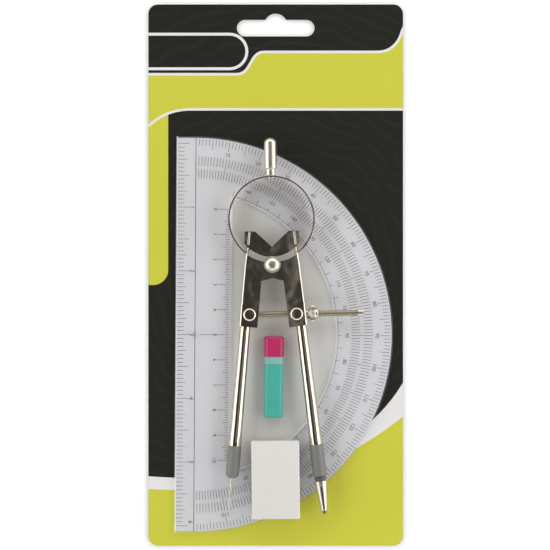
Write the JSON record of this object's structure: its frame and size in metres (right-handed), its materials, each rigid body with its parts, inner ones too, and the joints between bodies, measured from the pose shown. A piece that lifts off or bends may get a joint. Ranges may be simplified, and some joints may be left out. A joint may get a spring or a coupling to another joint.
{
  "type": "drafting compass set",
  "caption": "Hanging retail card holding a ring-head bow compass, a half-disc protractor-ruler, a lead case with a cap and an eraser block.",
  "frame": {"origin": "centre of the card's back face", "axes": "+Z out of the card's printed front, +Y towards the hang slot, +X to the right"},
  "size_m": [0.1016, 0.216, 0.0112],
  "materials": {
    "printed_card": "printed card with a satin varnish",
    "clear_plastic": "clear injection-moulded polystyrene",
    "vinyl": "white vinyl eraser block",
    "teal_plastic": "moulded teal polypropylene",
    "pale_plastic": "translucent pale teal plastic",
    "pink_plastic": "moulded pink polypropylene",
    "graphite": "graphite lead",
    "nickel": "bright nickel plate over steel and zinc",
    "brass_screw": "nickel-plated brass, rolled thread",
    "grey_plastic": "grey nylon",
    "dark_plastic": "dark grey nylon",
    "steel": "ground steel needle"
  },
  "bodies": {
    "pack_card": {"backing_card": "printed_card"},
    "protractor_rule": {"protractor": "clear_plastic"},
    "eraser_block": {"eraser": "vinyl"},
    "case_tube": {"lead_case": "teal_plastic", "lead_case_neck": "pale_plastic", "spare_lead_left": "graphite", "spare_lead_right": "graphite"},
    "case_cap": {"lead_case_cap": "pink_plastic"},
    "compass_head": {"ring_spring": "nickel", "handle": "nickel", "handle_rivet": "nickel", "front_saddle_plate": "nickel", "rear_saddle_plate": "nickel", "pivot_rivet": "nickel"},
    "needle_leg": {"left_leg": "nickel", "needle_plug": "grey_plastic", "needle": "steel"},
    "lead_leg": {"right_leg": "nickel", "lead_sleeve": "grey_plastic", "clamp_ring": "dark_plastic", "lead_clutch": "nickel", "compass_lead": "graphite"},
    "spindle_set": {"left_trunnion": "nickel", "spindle": "brass_screw", "spindle_stop": "nickel"},
    "right_swivel": {"right_trunnion": "nickel"},
    "washer": {"thrust_washer": "nickel"},
    "wheel": {"thumb_wheel": "nickel"}
  },
  "joints": [
    {"name": "protractor_lift", "type": "slide", "parent": "pack_card", "child": "protractor_rule", "axis": [0, 0, 1], "range_m": [0, 0.04]},
    {"name": "compass_lift", "type": "slide", "parent": "protractor_rule", "child": "compass_head", "axis": [0, 0, 1], "range_m": [0, 0.04]},
    {"name": "eraser_lift", "type": "slide", "parent": "protractor_rule", "child": "eraser_block", "axis": [0, 0, 1], "range_m": [0, 0.04]},
    {"name": "lead_case_lift", "type": "slide", "parent": "pack_card", "child": "case_tube", "axis": [0, 0, 1], "range_m": [0, 0.04]},
    {"name": "cap_pull", "type": "slide", "parent": "case_tube", "child": "case_cap", "axis": [0.0122, 0.9999, 0], "range_m": [0, 0.0065]},
    {"name": "needle_leg_hinge", "type": "hinge", "parent": "compass_head", "child": "needle_leg", "pos_m": [-0.00136, 0.00415, 0.006], "axis": [0, 0, -1], "range_deg": [-2.8, 18]},
    {"name": "lead_leg_hinge", "type": "hinge", "parent": "compass_head", "child": "lead_leg", "pos_m": [-0.00136, 0.00415, 0.006], "axis": [0, 0, 1], "range_deg": [-2.9, 18.1]},
    {"name": "left_trunnion_hinge", "type": "hinge", "parent": "needle_leg", "child": "spindle_set", "pos_m": [-0.01035, -0.01574, 0.006], "axis": [0, 0, 1], "range_deg": [-2.9, 18.1]},
    {"name": "right_trunnion_hinge", "type": "hinge", "parent": "lead_leg", "child": "right_swivel", "pos_m": [0.00831, -0.01541, 0.006], "axis": [0, 0, -1], "range_deg": [-2.9, 18.1]},
    {"name": "washer_travel", "type": "slide", "parent": "spindle_set", "child": "washer", "axis": [0.9998, 0.0175, 0], "range_m": [-0.0019, 0.0119]},
    {"name": "wheel_turn", "type": "hinge", "parent": "washer", "child": "wheel", "pos_m": [0.01478, -0.0153, 0.006], "axis": [0.9998, 0.0175, 0], "range_deg": [-950, 6070]}
  ],
  "couplings": [
    {"joint": "lead_leg_hinge", "follows": "needle_leg_hinge", "ratio": 1},
    {"joint": "left_trunnion_hinge", "follows": "needle_leg_hinge", "ratio": 1},
    {"joint": "right_trunnion_hinge", "follows": "needle_leg_hinge", "ratio": 1},
    {"joint": "washer_travel", "follows": "needle_leg_hinge", "m_per_rad": 0.0375},
    {"joint": "wheel_turn", "follows": "needle_leg_hinge", "ratio": 336.6}
  ]
}
